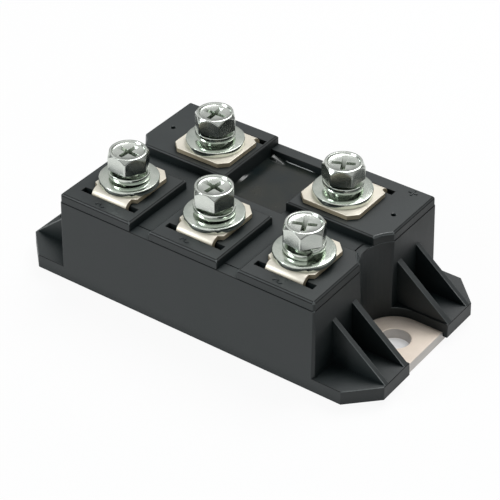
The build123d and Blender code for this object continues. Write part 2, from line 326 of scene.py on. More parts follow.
def make_zinc(name, dark, light, smooth, rough):
    """Bright zinc between two colours and two roughnesses."""
    material, tree, shader, place = new_material(name, Metallic=1.0)
    skin = effect(tree, unevenness, place, Cloud_Waves=260.0, Grain_Waves=5000.0)
    bright = colour_from(tree, skin["Clouds"], dark, light)
    # Painted shade: the recess is painted darker the deeper it lies.
    colour = mixed_colour(tree, mesh_mark(tree, "recess_depth"), bright, recess_shade_colour)
    tree.links.new(colour, shader.inputs["Base Color"])
    tree.links.new(range_from(tree, skin["Clouds"], smooth, rough), shader.inputs["Roughness"])
    bumped(tree, shader, skin["Grain"], 0.000015, 0.4)
    return material


def punched_edge(tree):
    """1 on the upright punched edges of a flat sheet, 0 on its rolled faces."""
    normal = add_node(tree, "ShaderNodeTexCoord").outputs["Normal"]
    split = add_node(tree, "ShaderNodeSeparateXYZ")
    tree.links.new(normal, split.inputs["Vector"])
    upright = calculated(tree, "ABSOLUTE", split.outputs["Z"])
    return range_from(tree, upright, 1.0, 0.0, low=0.15, high=0.6)


def make_sheet_metal(name, dark, light, edge, roughness, metallic):
    """Sheet metal with rolling lines on its faces and another colour on its punched edges."""
    material, tree, shader, place = new_material(name, Metallic=metallic)
    skin = effect(tree, unevenness, place, Cloud_Waves=150.0, Grain_Waves=4000.0)
    lines = effect(tree, rolling, place, Line_Waves=2500.0)["Lines"]
    faces = colour_from(tree, skin["Clouds"], dark, light)
    colour = mixed_colour(tree, punched_edge(tree), faces, edge)
    tree.links.new(colour, shader.inputs["Base Color"])
    streaky = range_from(tree, lines, roughness - line_contrast, roughness + line_contrast)
    tree.links.new(streaky, shader.inputs["Roughness"])
    bumped(tree, shader, lines, 0.00001, 0.5)
    return material


screw_zinc = make_zinc("screw_zinc", (0.62, 0.66, 0.61), (0.74, 0.77, 0.72), 0.16, 0.26)
washer_zinc = make_zinc("washer_zinc", (0.58, 0.64, 0.58), (0.72, 0.76, 0.69), 0.12, 0.22)
tinned_copper = make_sheet_metal(
    "tinned_copper", (0.70, 0.65, 0.55), (0.79, 0.74, 0.64), (0.50, 0.42, 0.29), 0.42, 0.4
)
nickel_plate = make_sheet_metal(
    "nickel_plated_plate", (0.68, 0.59, 0.50), (0.76, 0.67, 0.58), (0.60, 0.57, 0.54), 0.5, 0.3
)
print("finishes:", screw_zinc.name, washer_zinc.name, tinned_copper.name, nickel_plate.name)

# %% [markdown]
# ## Rounding what the mould and the press round
#
# The solids have perfectly sharp edges, and a real edge always catches a thin line of light. Each
# moulded or punched part becomes a merged copy of its solid. Its flat triangles are dissolved into
# whole faces, so that the bevel finds the true outer edges alone and rounds them. A large face with
# holes is hard to triangulate after that, so every flat region is cleared and filled again from its
# rim. Last, every vertex of a flat face takes that face's normal: the flats stay flat, and only the
# rounded edges turn the light. Rounded edges that face upwards are marked for the plastic's painted
# light: as a painted highlight where they slant to a corner, else as painted shade.


# %% Rounded copies of solids
weld_distance = 0.002 * mm
flat_angle = math.radians(0.6)
sharp_angle = math.radians(28)
corner_slant = 0.12
upper_slant = 0.15
edge_bevel = {"affect": "EDGES", "profile": 0.5, "material": -1}


def smooth_faces(mesh):
    """Smooth shading with hard lines at the sharp angles."""
    mesh.polygons.foreach_set("use_smooth", [True] * len(mesh.polygons))
    mesh.set_sharp_from_angle(angle=sharp_angle)


def merged_solid(node):
    """A node's surface with its vertices joined and its flat triangles made whole faces."""
    bm = bmesh.new()
    bm.from_mesh(frame["nodes"][node].data)
    bmesh.ops.remove_doubles(bm, verts=bm.verts, dist=weld_distance)
    bmesh.ops.dissolve_limit(bm, angle_limit=flat_angle, verts=bm.verts, edges=bm.edges)
    return bm


def flat_regions(bm):
    """Groups of faces that touch and lie in one plane."""
    left = set(bm.faces)
    regions = []
    while left:
        region = {left.pop()}
        front = set(region)
        while front:
            edges = {edge for face in front for edge in face.edges}
            flat_edges = [edge for edge in edges if edge.calc_face_angle() < flat_angle]
            front = {face for edge in flat_edges for face in edge.link_faces} & left
            left -= front
            region |= front
        regions.append(region)
    return regions


def refill(bm, region, flat):
    """Clears a flat region and fills it with triangles from its rim, holes left open."""
    normal = max(region, key=lambda face: face.calc_area()).normal.copy()
    edges = {edge for face in region for edge in face.edges}
    rim = [edge for edge in edges if not region.issuperset(edge.link_faces)]
    bmesh.ops.delete(bm, geom=list(region), context="FACES_ONLY")
    bmesh.ops.delete(bm, geom=[edge for edge in edges if not edge.link_faces], context="EDGES")
    made = bmesh.ops.triangle_fill(bm, edges=rim, use_beauty=True, normal=normal)["geom"]
    for face in made:
        if isinstance(face, bmesh.types.BMFace):
            face[flat] = 1


def hold_flats(mesh):
    """Gives the vertices of flat faces the normal of those faces."""
    flat = mesh.attributes["flat"].data
    normals = [corner.vector.copy() for corner in mesh.corner_normals]
    facing = {}
    for face in mesh.polygons:
        if flat[face.index].value:
            for vert in face.vertices:
                facing.setdefault(vert, []).append(face.normal.copy())
    for face in mesh.polygons:
        for corner, vert in zip(face.loop_indices, face.vertices):
            held = facing.get(vert)
            nearest = min(held, key=lambda normal: normal.angle(face.normal)) if held else None
            if held and nearest.angle(face.normal) < sharp_angle:
                normals[corner] = nearest
    mesh.normals_split_custom_set(normals)


def rounded_part(node, radius, material, above=-1.0):
    """A copy of a solid, its outer edges above a level rounded, which stands for that solid."""
    bm = merged_solid(node)
    outer = [edge for edge in bm.edges if edge.is_convex and edge.calc_face_angle() > sharp_angle]
    outer = [edge for edge in outer if min(vert.co.z for vert in edge.verts) > above]
    layers = bm.faces.layers.int
    for name in ("shade_painted_edge", "highlight_painted_edge", "flat"):
        layers.new(name)
    shade_edge, highlight_edge, flat = layers["shade_painted_edge"], layers["highlight_painted_edge"], layers["flat"]
    for face in bm.faces:
        bends = [edge.calc_face_angle() for edge in face.edges]
        face[flat] = not any(flat_angle < bend < sharp_angle for bend in bends)
    rounding = {"offset": radius, "segments": 3, "clamp_overlap": False, **edge_bevel}
    for face in bmesh.ops.bevel(bm, geom=outer, **rounding)["faces"]:
        face[flat] = 0
        # Upper edges at corners get the painted highlight, the other upper edges the painted shade.
        at_corner = min(abs(face.normal.x), abs(face.normal.y)) > corner_slant
        face[highlight_edge if at_corner else shade_edge] = face.normal.z > upper_slant
    for region in flat_regions(bm):
        if max(len(face.verts) for face in region) > 4:
            refill(bm, region, flat)
    bmesh.ops.recalc_face_normals(bm, faces=bm.faces)
    mesh = bpy.data.meshes.new("rounded_" + node)
    bm.to_mesh(mesh)
    bm.free()
    smooth_faces(mesh)
    hold_flats(mesh)
    mesh.materials.append(material)
    piece = bpy.data.objects.new("rounded_" + node, mesh)
    scene.collection.objects.link(piece)
    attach(piece, "root")
    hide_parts(node)


mould_radius = 0.16 * mm
press_radius = 0.15 * mm
plate_radius = 0.25 * mm
seam_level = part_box("housing")[1].z
strips = [node for node in sorted(frame["nodes"]) if node.endswith("_terminal")]

rounded_part("housing", mould_radius, case_plastic)
rounded_part("top_cover", mould_radius, case_plastic, seam_level - 2 * mould_radius)
rounded_part("base_plate", plate_radius, nickel_plate)
for strip in strips:
    rounded_part(strip, press_radius, tinned_copper)
print("rounded:", 3 + len(strips), "parts")

# %% [markdown]
# ## Where the screws stand
#
# The screws and washers are groups of five solids, one to a terminal. Their places and levels are
# read from those solids, so that the new metal sits exactly where the fastened stack is: a group is
# merged, its connected vertices are gathered island by island, and each island's box gives one
# axis.


# %% Places of the screws
def islands(node):
    """The boxes of a node's separate solids, front row first, each row from left to right."""
    bm = bmesh.new()
    bm.from_mesh(frame["nodes"][node].data)
    bmesh.ops.remove_doubles(bm, verts=bm.verts, dist=weld_distance)
    left = set(bm.verts)
    boxes = []
    while left:
        group = {left.pop()}
        front = set(group)
        while front:
            edges = {edge for vert in front for edge in vert.link_edges}
            front = {vert for edge in edges for vert in edge.verts} & left
            left -= front
            group |= front
        low = Vector([min(vert.co[i] for vert in group) for i in range(3)])
        high = Vector([max(vert.co[i] for vert in group) for i in range(3)])
        boxes.append((low, high))
    bm.free()
    middle = cad_low.y / 2 + cad_high.y / 2
    return sorted(boxes, key=lambda box: (box[0].y + box[1].y > 2 * middle, box[0].x))


screw_axes = [(low + high) / 2 for low, high in islands("terminal_screws")]
washer_low, washer_high = islands("flat_washers")[0]
spring_low, spring_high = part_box("spring_washers")
screw_low, screw_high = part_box("terminal_screws")
tab_level = washer_low.z
spring_level = washer_high.z
head_level = spring_high.z
head_height = screw_high.z - spring_high.z
screw_length = spring_high.z - screw_low.z
for axis in screw_axes:
    print("screw at", round(axis.x / mm, 2), round(axis.y / mm, 2))
print("head from", round(head_level / mm, 2), "to", round(screw_high.z / mm, 2))

# %% [markdown]
# ## Screws
#
# Each screw is an M6 machine screw: a cold-formed hexagon with its corners turned off, a shallow
# dish in the top and a cross recess for a driver. Turned metal is a profile spun round Z, and a
# thread or a spring is a section spun while it rises. These helpers do both, round edges, and put
# the result in its place.


# %% Helpers for turned parts
def new_piece(bm, name, material, place):
    """Turns a bmesh into a piece of the module in its place."""
    bmesh.ops.recalc_face_normals(bm, faces=bm.faces)
    mesh = bpy.data.meshes.new(name)
    bm.to_mesh(mesh)
    bm.free()
    mesh.transform(place)
    smooth_faces(mesh)
    mesh.materials.append(material)
    piece = bpy.data.objects.new(name, mesh)
    scene.collection.objects.link(piece)
    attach(piece, "root")
    return piece


def stand_in(bm, name, material, node, place):
    """A piece that stands for a node, which it hides."""
    piece = new_piece(bm, name, material, place)
    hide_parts(node)
    return piece


def profile_edges(bm, points, closed=False):
    """A chain of vertices in the XZ plane, given as radius and height."""
    verts = [bm.verts.new((radius, 0.0, height)) for radius, height in points]
    ends = verts[1:] + verts[:1] if closed else verts[1:]
    edges = [bm.edges.new(pair) for pair in zip(verts, ends)]
    return verts + edges


round_z = {"cent": (0, 0, 0), "axis": (0, 0, 1)}
soften_angle = math.radians(40)


def turn(bm, points, steps, closed=False):
    """A closed surface of revolution about Z."""
    geometry = profile_edges(bm, points, closed)
    bmesh.ops.spin(bm, geom=geometry, angle=2 * math.pi, steps=steps, use_merge=True, **round_z)
    bmesh.ops.remove_doubles(bm, verts=bm.verts, dist=weld_distance)


def coil(bm, points, angle, rise, steps):
    """A closed section swept round Z while it rises, with both ends filled."""
    geometry = profile_edges(bm, points, closed=True)
    lift = (0, 0, rise / steps)
    bmesh.ops.spin(bm, geom=geometry, angle=angle, dvec=lift, steps=steps, **round_z)
    open_edges = [edge for edge in bm.edges if edge.is_boundary]
    bmesh.ops.holes_fill(bm, edges=open_edges, sides=0)


def soften(bm, radius, segments=3):
    """Rounds the edges whose faces meet at a clear angle."""
    closed = [edge for edge in bm.edges if edge.is_manifold]
    sharp = [edge for edge in closed if edge.calc_face_angle() > soften_angle]
    bmesh.ops.bevel(bm, geom=sharp, offset=radius, segments=segments, **edge_bevel)


def steps_between(start, end, count):
    """Points from start to end, without the start."""
    return [
        (start[0] + (end[0] - start[0]) * i / count, start[1] + (end[1] - start[1]) * i / count)
        for i in range(1, count + 1)
    ]


print("helpers: turn, coil and soften")

# %% [markdown]
# ## Screw head
#
# The head is first turned, with its dish and its rim, and then pressed. The six flats are made by
# moving every vertex outside the hexagon in to it, along a soft minimum, so that the flats and the
# cone meet on a slightly rolled edge, as they do on formed steel. A cube cut by planes would have
# hard edges there.

# %% Screw head
across_flats = 10.0 * mm
hexagon_corner = across_flats / 2 / math.cos(math.pi / 6)
foot_chamfer = 0.12 * mm
head_flat_radius = 4.9 * mm
head_chamfer = 1.45 * mm
dish_radius = 4.35 * mm
dish_depth = 0.55 * mm
rolled_edge = 0.10 * mm
corner_rounding = 0.12 * mm
head_steps = 144
cone_steps = 14
flank_steps = 3


def soft_minimum(a, b, blend):
    """The smaller of two values, with a rounded change from one to the other."""
    share = max(blend - abs(a - b), 0.0) / blend
    return min(a, b) - share * share * blend / 4


def hexagon_radius(angle):
    """How far the hexagon reaches in a direction, with slightly rounded corners."""
    turned = (angle + math.pi / 6) % (math.pi / 3) - math.pi / 6
    reach = across_flats / 2 / math.cos(turned)
    return soft_minimum(reach, hexagon_corner - corner_rounding / 2, corner_rounding)


def screw_head():
    """The head, turned from its profile and then pressed to a hexagon."""
    floor = head_height - dish_depth
    cone_low = (hexagon_corner, head_height - head_chamfer)
    points = [
        (0.0, floor),
        (dish_radius * 0.5, floor + 0.01 * mm),
        (dish_radius - 0.4 * mm, floor + 0.03 * mm),
        (dish_radius - 0.25 * mm, floor + 0.1 * mm),
        (dish_radius - 0.05 * mm, head_height - 0.12 * mm),
        (dish_radius + 0.05 * mm, head_height - 0.02 * mm),
        (dish_radius + 0.15 * mm, head_height),
        (head_flat_radius - 0.1 * mm, head_height),
        (head_flat_radius + 0.02 * mm, head_height - 0.06 * mm),
    ]
    points += steps_between(points[-1], cone_low, cone_steps)
    points += steps_between(cone_low, (hexagon_corner, foot_chamfer), flank_steps)
    points += [(hexagon_corner - foot_chamfer, 0.0), (0.0, 0.0)]
    bm = bmesh.new()
    turn(bm, points, head_steps)
    for vert in bm.verts:
        radius = math.hypot(vert.co.x, vert.co.y)
        if radius > dish_radius:
            reach = hexagon_radius(math.atan2(vert.co.y, vert.co.x))
            if vert.co.z < weld_distance:
                reach -= foot_chamfer
            pressed = soft_minimum(radius, reach, rolled_edge)
            vert.co.x *= pressed / radius
            vert.co.y *= pressed / radius
    return bm


print("screw head across flats:", across_flats / mm, "mm")

# %% [markdown]
# ## Cross recess and thread
#
# The recess is cut as the die cuts it, with a tapered cross whose rim is chamfered: four rings of
# twelve corners are joined to one closed tool, and a Boolean takes it out of the head. The mesh
# then carries how deep each vertex lies, for the zinc's painted shade in the recess. Below the
# head, a triangular ridge is coiled round a core.

# %% Cross recess and thread
cross_span = 6.2 * mm
cross_width = 1.25 * mm
cross_depth = 2.4 * mm
cross_floor_share = 0.4
cross_rim = 0.12 * mm
cross_shade_depth = 0.8 * mm
thread_radius = 2.95 * mm
thread_pitch = 1.0 * mm
thread_crest = 0.12 * mm
thread_flank_share = 0.44
core_radius = 2.45 * mm
core_tip = 0.6 * mm
core_overlap = 0.1 * mm
steps_in_turn = 24


def cross_outline(bm, span, width, level):
    """The twelve corners of a cross, anticlockwise."""
    reach, half = span / 2, width / 2
    arm = [Vector((reach, -half, level)), Vector((reach, half, level)), Vector((half, half, level))]
    quarters = [Matrix.Rotation(quarter * math.pi / 2, 3, "Z") for quarter in range(4)]
    return [bm.verts.new(turned @ corner) for turned in quarters for corner in arm]


def cross_cutter():
    """A tapered cross with a chamfered rim, as one cutting tool."""
    bm = bmesh.new()
    top = head_height - dish_depth
    floor_span, floor_width = cross_span * cross_floor_share, cross_width * cross_floor_share
    rim_span, rim_width = cross_span + 2 * cross_rim, cross_width + 2 * cross_rim
    rings = [
        cross_outline(bm, floor_span, floor_width, top - cross_depth),
        cross_outline(bm, cross_span, cross_width, top),
        cross_outline(bm, rim_span, rim_width, top + cross_rim),
        cross_outline(bm, rim_span, rim_width, head_height),
    ]
    bm.faces.new(reversed(rings[0]))
    bm.faces.new(rings[-1])
    for lower, upper in zip(rings, rings[1:]):
        for i in range(len(lower)):
            bm.faces.new((lower[i - 1], lower[i], upper[i], upper[i - 1]))
    bmesh.ops.recalc_face_normals(bm, faces=bm.faces)
    return bm


def temporary_object(bm, name):
    """An object that only a modifier needs."""
    mesh = bpy.data.meshes.new(name)
    bm.to_mesh(mesh)
    bm.free()
    made = bpy.data.objects.new(name, mesh)
    scene.collection.objects.link(made)
    return made


def with_recess(head, cutter):
    """The head's mesh after the cutting tool has been taken out of it."""
    body = temporary_object(head, "head_blank")
    tool = temporary_object(cutter, "cross_tool")
    cut = body.modifiers.new("cross_recess", "BOOLEAN")
    cut.operation = "DIFFERENCE"
    cut.solver = "EXACT"
    cut.object = tool
    evaluated = body.evaluated_get(bpy.context.evaluated_depsgraph_get())
    result = bpy.data.meshes.new_from_object(evaluated)
    for item in (body, tool):
        mesh = item.data
        bpy.data.objects.remove(item)
        bpy.data.meshes.remove(mesh)
    bm = bmesh.new()
    bm.from_mesh(result)
    bpy.data.meshes.remove(result)
    depth = bm.verts.layers.float.new("recess_depth")
    for vert in bm.verts:
        inside = math.hypot(vert.co.x, vert.co.y) < cross_span / 2 and vert.co.z > weld_distance
        below = head_height - dish_depth - vert.co.z
        vert[depth] = min(max(below / cross_shade_depth, 0.0), 1.0) if inside else 0.0
    return bm


def add_thread(bm):
    """A core with a chamfered tip and a right-handed ridge coiled round it."""
    core = bmesh.new()
    outline = [
        (0.0, -screw_length),
        (core_radius - core_tip, -screw_length),
        (core_radius, core_tip - screw_length),
        (core_radius, 0.0),
        (0.0, 0.0),
    ]
    turn(core, outline, 2 * steps_in_turn)
    flank = thread_pitch * thread_flank_share
    base = core_radius - core_overlap
    crest = [(thread_radius, -thread_crest / 2), (thread_radius, thread_crest / 2)]
    section = [(base, -flank)] + crest + [(base, flank)]
    turns = int(screw_length / thread_pitch) - 2
    ridge = bmesh.new()
    coil(ridge, section, turns * 2 * math.pi, turns * thread_pitch, turns * steps_in_turn)
    bmesh.ops.translate(ridge, verts=ridge.verts, vec=(0, 0, thread_pitch - screw_length))
    for part in (core, ridge):
        bmesh.ops.recalc_face_normals(part, faces=part.faces)
        loose = bpy.data.meshes.new("loose")
        part.to_mesh(loose)
        part.free()
        bm.from_mesh(loose)
        bpy.data.meshes.remove(loose)


print("cross recess:", cross_span / mm, "mm across, thread pitch", thread_pitch / mm, "mm")

# %% [markdown]
# ## Five screws
#
# No two screws stop at the same angle when they are tightened, so each head and each cross has its
# own turn, in degrees.

# %% Five screws
head_turns = (-1.5, 7.0, -6.0, 17.0, 26.5)
cross_turns = (-5.0, -8.0, 25.0, 3.0, 27.0)
hexagon_start = 30.0

for number, axis in enumerate(screw_axes):
    head = screw_head()
    spun = Matrix.Rotation(math.radians(head_turns[number] + hexagon_start), 3, "Z")
    bmesh.ops.rotate(head, verts=head.verts, cent=(0, 0, 0), matrix=spun)
    tool = cross_cutter()
    spun = Matrix.Rotation(math.radians(cross_turns[number]), 3, "Z")
    bmesh.ops.rotate(tool, verts=tool.verts, cent=(0, 0, 0), matrix=spun)
    screw = with_recess(head, tool)
    add_thread(screw)
    place = Matrix.Translation((axis.x, axis.y, head_level))
    piece = stand_in(screw, f"terminal_screw_{number + 1}", screw_zinc, "terminal_screws", place)
    print(piece.name, len(piece.data.polygons), "faces")

# %% [markdown]
# ## Washers
#
# Under each head lie a spring washer and a flat washer. The flat one is punched, so its upper rim
# is rolled over: a spun rectangle with bevelled rims. The spring washer is flat wire coiled once,
# left-handed, with its ends sprung apart by one thickness: the same spin with a rise in every step
# and an angle short of a full turn.


# %% Washers
washer_diameter = washer_high.x - washer_low.x
washer_thickness = washer_high.z - washer_low.z
washer_hole = 6.4 * mm
washer_rim = 0.28 * mm
washer_steps = 96
spring_diameter = 10.9 * mm
spring_wire_width = 2.1 * mm
spring_wire_height = 1.6 * mm
spring_gap_angle = math.radians(14)
spring_turns = (50.0, 60.0, -41.0, -163.0, -167.0)
spring_edge = 0.22 * mm


def flat_washer():
    """A spun rectangle with bevelled rims."""
    bm = bmesh.new()
    inner, outer = washer_hole / 2, washer_diameter / 2
    corners = [(inner, 0.0), (outer, 0.0), (outer, washer_thickness), (inner, washer_thickness)]
    turn(bm, corners, washer_steps, closed=True)
    soften(bm, washer_rim)
    return bm


def spring_washer():
    """A rectangle spun almost once round while it rises."""
    bm = bmesh.new()
    outer = spring_diameter / 2
    inner = outer - spring_wire_width
    corners = [(inner, 0.0), (outer, 0.0), (outer, spring_wire_height), (inner, spring_wire_height)]
    rise = spring_high.z - spring_low.z - spring_wire_height
    coil(bm, corners, spring_gap_angle - 2 * math.pi, rise, washer_steps)
    soften(bm, spring_edge)
    return bm


for number, axis in enumerate(screw_axes):
    place = Matrix.Translation((axis.x, axis.y, tab_level))
    stand_in(flat_washer(), f"flat_washer_{number + 1}", washer_zinc, "flat_washers", place)
    turned = Matrix.Rotation(math.radians(spring_turns[number]) - spring_gap_angle / 2, 4, "Z")
    place = Matrix.Translation((axis.x, axis.y, spring_level)) @ turned
    stand_in(spring_washer(), f"spring_washer_{number + 1}", washer_zinc, "spring_washers", place)
print("washers:", 2 * len(screw_axes))

# %% [markdown]
# ## Moulded marks
#
# The mould leaves a small raised sign beside the terminals: a wave at each input and a plus at the
# positive output. They are relief of a fifth of a millimetre, so they are modelled, and not
# painted. The wave is one round section spun through two arcs that turn opposite ways. The plus is
# a cube whose four sides are extruded outwards.

# %% Moulded marks
mark_height = 0.2 * mm
mark_size = 2.6 * mm
wave_sweep = math.radians(150)
wave_steps = 14
wave_places = ((-28.0, -25.8), (-1.0, -25.4), (27.7, -25.7))
plus_place = (34.4, 25.6)
plus_rounding = 0.04 * mm
block_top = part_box("top_cover")[1].z


def add_mark(bm, name, place):
    """Sets a mark on top of the blocks, in the case's own plastic."""
    raised = Matrix.Translation((place[0] * mm, place[1] * mm, block_top))
    piece = new_piece(bm, name, case_plastic, raised)


def wave():
    """A round section spun through two arcs that turn opposite ways."""
    bm = bmesh.new()
    radius = mark_size / 4
    half = (math.pi - wave_sweep) / 2
    across = Matrix.Rotation(math.pi / 2, 4, "X")
    ring = bmesh.ops.create_circle(bm, segments=10, radius=mark_height, matrix=across)["verts"]
    geometry = ring + list({edge for vert in ring for edge in vert.link_edges})
    start = Matrix.Translation((-radius, 0, 0))
    bmesh.ops.transform(bm, matrix=start, verts=ring)
    bmesh.ops.rotate(bm, verts=ring, cent=(0, 0, 0), matrix=Matrix.Rotation(half, 3, "Z"))
    made = bmesh.ops.spin(bm, geom=geometry, angle=-wave_sweep, steps=wave_steps, **round_z)
    centre = Vector((math.cos(half), math.sin(half), 0)) * 2 * radius
    second_arc = {"cent": centre, "axis": (0, 0, 1)}
    bmesh.ops.spin(bm, geom=made["geom_last"], angle=wave_sweep, steps=wave_steps, **second_arc)
    bmesh.ops.holes_fill(bm, edges=[edge for edge in bm.edges if edge.is_boundary], sides=0)
    bmesh.ops.translate(bm, verts=bm.verts, vec=-centre / 2)
    return bm


def plus():
    """A small cube whose four sides are extruded outwards."""
    bm = bmesh.new()
    bar = mark_size / 7
    core = Matrix.Diagonal((bar, bar, 2 * mark_height, 1.0))
    bmesh.ops.create_cube(bm, size=1.0, matrix=core)
    sides = [face for face in bm.faces if abs(face.normal.z) < 0.5]
    for face in sides:
        outward = face.normal.copy()
        made = bmesh.ops.extrude_face_region(bm, geom=[face])["geom"]
        bmesh.ops.delete(bm, geom=[face], context="FACES_ONLY")
        moved = [item for item in made if isinstance(item, bmesh.types.BMVert)]
        bmesh.ops.translate(bm, verts=moved, vec=outward * (mark_size - bar) / 2)
    soften(bm, plus_rounding, segments=2)
    return bm


for number, place in enumerate(wave_places):
    add_mark(wave(), f"input_mark_{number + 1}", place)
add_mark(plus(), "plus_mark", plus_place)
print("marks:", len(wave_places) + 1)

# %% [markdown]
# ## Casting resin in the middle field
#
# The sunken field between the rear blocks is where the resin was poured, and a glossy skin of it is
# left on the floor. It shows by its reflections: a dark band that mirrors the rear wall, and bright
# streaks where the resin has crept up the walls. A grid is warped so that its lines crowd at the
# four walls, and its height is worked out from the distance to each wall. A thin line of it follows
# the rear wall. It has crept furthest in a run at the left end of that wall, and in one short
# stretch of the left wall.

# %% Casting resin
field_half_width = 9.8 * mm
field_front = 1.2 * mm
field_rear = 24.32 * mm
field_floor = 24.2 * mm
resin_depth = 0.2 * mm
resin_steps = 96
creep_curve = 1.15
wall_reach = 0.3 * mm
wall_rise = 0.1 * mm
left_reach = 0.9 * mm
left_rise = 0.04 * mm
stretch_rise = 0.34 * mm
stretch_place = 11.3 * mm
stretch_spread = 2.2 * mm
line_width = 0.15 * mm
line_steepness = 1.3
line_ends = (5.5 * mm, 3.5 * mm)
run_start = (-9.4 * mm, -8.6 * mm)
run_end = -4.2 * mm
run_width = 1.85 * mm
run_edge = 0.45 * mm
run_rise = 1.3 * mm
run_slope = 0.12


def smooth_step(value, start, end):
    """From 0 at the start to 1 at the end, without a kink."""
    share = min(max((value - start) / (end - start), 0.0), 1.0)
    return share * share * (3 - 2 * share)


def crept(distance, reach, rise):
    """How high the resin stands at a distance from a wall."""
    return rise * max(1.0 - distance / reach, 0.0) ** creep_curve


def run_height(x, y):
    """The run of resin at the left end of the rear wall, which slopes down to the right."""
    along = max((run_end - x) / (run_end + field_half_width), 0.0) * smooth_step(x, *run_start)
    front = field_rear - run_width
    across = smooth_step(y, front, front + run_edge)
    return along * across * (run_rise + run_slope * (y - field_rear))


def resin_height(x, y):
    """The resin's height over the field's floor."""
    line_rise = line_width * line_steepness * smooth_step(x, *line_ends)
    stretch = math.exp(-(((y - stretch_place) / stretch_spread) ** 2))
    heights = (
        run_height(x, y),
        crept(field_rear - y, line_width, line_rise),
        crept(x + field_half_width, left_reach, left_rise + stretch_rise * stretch),
        crept(field_half_width - x, wall_reach, wall_rise),
        crept(y - field_front, wall_reach, wall_rise),
    )
    return resin_depth + max(heights)


def make_resin():
    """Dark and glossy, with soft clouds that also ripple it."""
    material, tree, shader, place = new_material("cast_resin", IOR=1.5)
    skin = effect(tree, unevenness, place, Cloud_Waves=140.0, Grain_Waves=900.0)
    colour = colour_from(tree, skin["Clouds"], (0.003, 0.008, 0.009), (0.012, 0.014, 0.009))
    tree.links.new(colour, shader.inputs["Base Color"])
    tree.links.new(range_from(tree, skin["Clouds"], 0.2, 0.28), shader.inputs["Roughness"])
    bumped(tree, shader, skin["Clouds"], 0.0001, 0.4)
    return material


def resin_skin():
    """The resin as a warped grid with a skirt and a floor."""
    bm = bmesh.new()
    bmesh.ops.create_grid(bm, x_segments=resin_steps, y_segments=resin_steps, size=1.0)
    half_length = (field_rear - field_front) / 2
    for vert in bm.verts:
        x = field_half_width * math.sin(vert.co.x * math.pi / 2)
        y = (field_front + field_rear) / 2 + half_length * math.sin(vert.co.y * math.pi / 2)
        vert.co = (x, y, field_floor + resin_height(x, y))
    rim = [edge for edge in bm.edges if edge.is_boundary]
    made = bmesh.ops.extrude_edge_only(bm, edges=rim)["geom"]
    for item in made:
        if isinstance(item, bmesh.types.BMVert):
            item.co.z = field_floor
    bmesh.ops.holes_fill(bm, edges=[edge for edge in bm.edges if edge.is_boundary], sides=0)
    return bm


resin = new_piece(resin_skin(), "cast_resin", make_resin(), Matrix())
print("casting resin:", len(resin.data.polygons), "faces")

# %% [markdown]
# ## The sealed circuit
#
# Under the cover lies what the module is for: a ceramic plate with copper tracks, six silicon
# chips, copper clips and a soft clear filling. None of it shows from outside, yet with the cover
# hidden each thing shows in its own material, so the solids are kept as they are and only get
# their finish. The zinc-plated nuts in the cover's pockets are treated alike.


# %% Finishes of the sealed circuit
def make_plain(name, dark, light, low_rough, high_rough, waves, **values):
    """A plain uneven finish between two colours and two roughnesses."""
    material, tree, shader, place = new_material(name, **values)
    skin = effect(tree, unevenness, place, Cloud_Waves=waves, Grain_Waves=waves * 25)
    tree.links.new(colour_from(tree, skin["Clouds"], dark, light), shader.inputs["Base Color"])
    roughness = range_from(tree, skin["Clouds"], low_rough, high_rough)
    tree.links.new(roughness, shader.inputs["Roughness"])
    bumped(tree, shader, skin["Grain"], 0.00001, 0.4)
    return material


clear = {"Transmission_Weight": 0.9, "IOR": 1.41}
finish_of = {
    "bare_copper": make_plain(
        "bare_copper", (0.72, 0.36, 0.22), (0.84, 0.46, 0.30), 0.25, 0.4, 200.0, Metallic=1.0
    ),
    "white_ceramic": make_plain(
        "white_ceramic", (0.80, 0.79, 0.76), (0.86, 0.86, 0.84), 0.5, 0.65, 300.0
    ),
    "diode_silicon": make_plain(
        "diode_silicon", (0.10, 0.11, 0.13), (0.16, 0.17, 0.20), 0.15, 0.25, 400.0, Metallic=0.8
    ),
    "clear_silicone": make_plain(
        "clear_silicone", (0.90, 0.91, 0.88), (0.94, 0.95, 0.93), 0.08, 0.16, 100.0, **clear
    ),
    "zinc_plated_steel": washer_zinc,
}
sealed = [name for name, node in frame["nodes"].items() if not node.hide_render]
for name in sealed:
    materials = frame["nodes"][name].data.materials
    materials.clear()
    materials.append(finish_of[slot_of[name]])
print("sealed circuit:", len(sealed), "solids finished")

# %% [markdown]
# ## Floor, light and background
#
# The object stands on a white table. The table is white by its own glow, which only the camera and
# mirror reflections see, and a small share of plain white paint under the glow keeps the object's
# shadow. In reflections the glow falls off past the object's right end, as if the room were darker
# there: that is what keeps the end wall darker than the front wall, from wherever it is seen. The
# bit of table that shows through a mounting hole gets little light, so less of the glow is mixed in
# there.

# %% Floor
floor_half = 3.0
floor_gap = 0.02 * mm
bm = bmesh.new()
bmesh.ops.create_grid(bm, x_segments=1, y_segments=1, size=floor_half)
bmesh.ops.translate(bm, verts=bm.verts, vec=(0, 0, cad_low.z - floor_gap))
floor_mesh = bpy.data.meshes.new("floor")
bm.to_mesh(floor_mesh)
bm.free()
floor = bpy.data.objects.new("floor", floor_mesh)
scene.collection.objects.link(floor)

seen_white = 1.0
own_white_share = 0.93
shade_side = 0.2
shade_starts = 60 * mm
shade_ends = 110 * mm
hole_shade = 0.3
hole_blur = 0.5 * mm
table_paint = (0.8, 0.8, 0.8, 1.0)
mounts = frame["record"]["mounts"]
bolts = next(mount["dims"] for mount in mounts if mount["kind"] == "bolt_pattern")
hole_from_middle = bolts["spacing_x_mm"] * mm / 2
hole_radius = bolts["hole_r_mm"] * mm

